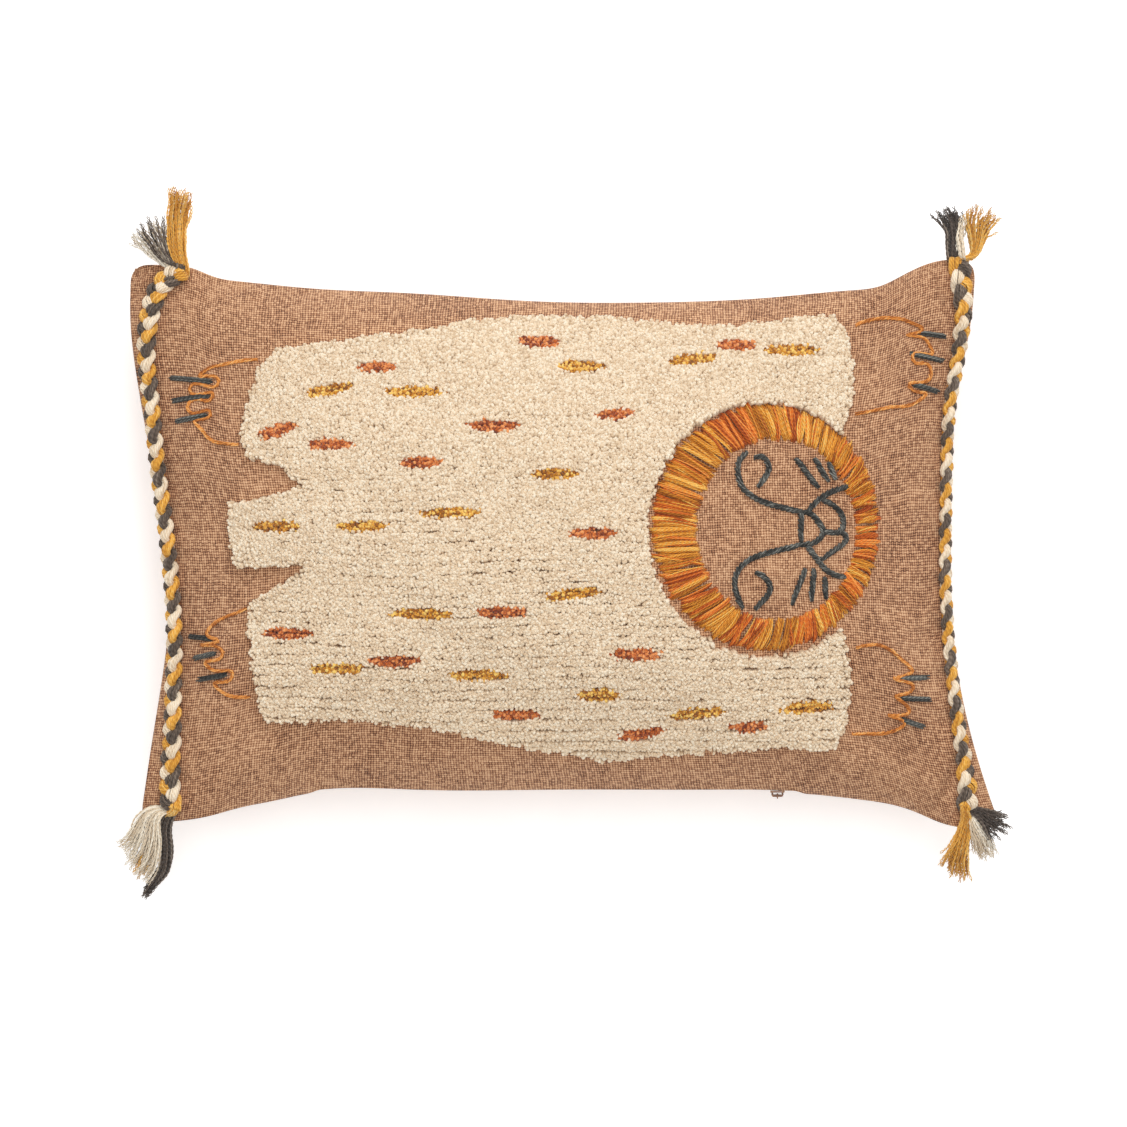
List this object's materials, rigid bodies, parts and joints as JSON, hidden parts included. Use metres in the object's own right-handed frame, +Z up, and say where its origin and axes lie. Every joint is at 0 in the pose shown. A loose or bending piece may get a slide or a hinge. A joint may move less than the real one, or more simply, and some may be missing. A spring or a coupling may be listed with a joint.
{
  "type": "throw pillow",
  "caption": "Oblong stuffed throw pillow with a tufted lion front, yarn mane, embroidered face and paws, braided side trim with fringed ends and a zipped seam.",
  "frame": {"origin": "centre of the flat patch on the back panel that the pillow rests on", "axes": "+Z up through the front panel, +X along the long side towards the lion's head, +Y along the short side away from the zip"},
  "size_m": [0.622, 0.4957, 0.1477],
  "materials": {
    "clay_cloth": "slub cotton plain weave, terracotta clay",
    "cream_pile": "cut cotton pile, cream",
    "ochre_yarn": "ochre cotton yarn",
    "rust_yarn": "rust cotton yarn",
    "orange_thread": "orange embroidery thread",
    "charcoal_thread": "charcoal embroidery thread",
    "cream_yarn": "cream cotton yarn",
    "charcoal_yarn": "charcoal cotton yarn",
    "lining_cloth": "white non-woven lining",
    "fibre_filling": "loose polyester fibre filling",
    "zip_tape": "woven polyester tape",
    "zip_coil": "moulded nylon coil",
    "zip_metal": "zinc alloy, lacquered clay brown to match the cloth"
  },
  "bodies": {
    "pillow": {"back_panel": "clay_cloth", "braid_left_charcoal": "charcoal_yarn", "braid_left_cream": "cream_yarn", "braid_left_ochre": "ochre_yarn", "braid_right_charcoal": "charcoal_yarn", "braid_right_cream": "cream_yarn", "braid_right_ochre": "ochre_yarn", "claws_lower_left": "charcoal_thread", "claws_lower_right": "charcoal_thread", "claws_upper_left": "charcoal_thread", "claws_upper_right": "charcoal_thread", "embroidered_eyes_and_brows": "charcoal_thread", "embroidered_nose_and_mouth": "charcoal_thread", "embroidered_whiskers": "charcoal_thread", "fringe_lower_left_charcoal": "charcoal_yarn", "fringe_lower_left_cream": "cream_yarn", "fringe_lower_left_ochre": "ochre_yarn", "fringe_lower_right_charcoal": "charcoal_yarn", "fringe_lower_right_cream": "cream_yarn", "fringe_lower_right_ochre": "ochre_yarn", "fringe_upper_left_charcoal": "charcoal_yarn", "fringe_upper_left_cream": "cream_yarn", "fringe_upper_left_ochre": "ochre_yarn", "fringe_upper_right_charcoal": "charcoal_yarn", "fringe_upper_right_cream": "cream_yarn", "fringe_upper_right_ochre": "ochre_yarn", "front_panel": "clay_cloth", "insert_filling": "fibre_filling", "insert_lining": "lining_cloth", "mane_yarn_ochre": "ochre_yarn", "mane_yarn_rust": "rust_yarn", "paw_outline_lower_left": "orange_thread", "paw_outline_lower_right": "orange_thread", "paw_outline_upper_left": "orange_thread", "paw_outline_upper_right": "orange_thread", "tufted_dashes_ochre": "ochre_yarn", "tufted_dashes_rust": "rust_yarn", "tufted_lion_pile": "cream_pile", "zip_bottom_stop": "zip_metal", "zip_coil_back": "zip_coil", "zip_coil_front": "zip_coil", "zip_tape_back": "zip_tape", "zip_tape_front": "zip_tape", "zip_top_stops": "zip_metal"},
    "slider": {"zip_slider": "zip_metal"},
    "pull": {"zip_pull": "zip_metal"}
  },
  "joints": [
    {"name": "zip_slide", "type": "slide", "parent": "pillow", "child": "slider", "axis": [-1, 0, 0], "range_m": [0, 0.31]},
    {"name": "pull_hinge", "type": "hinge", "parent": "slider", "child": "pull", "pos_m": [0.155, -0.1765, 0.066], "axis": [-1, 0, 0], "range_deg": [0, 150]}
  ]
}
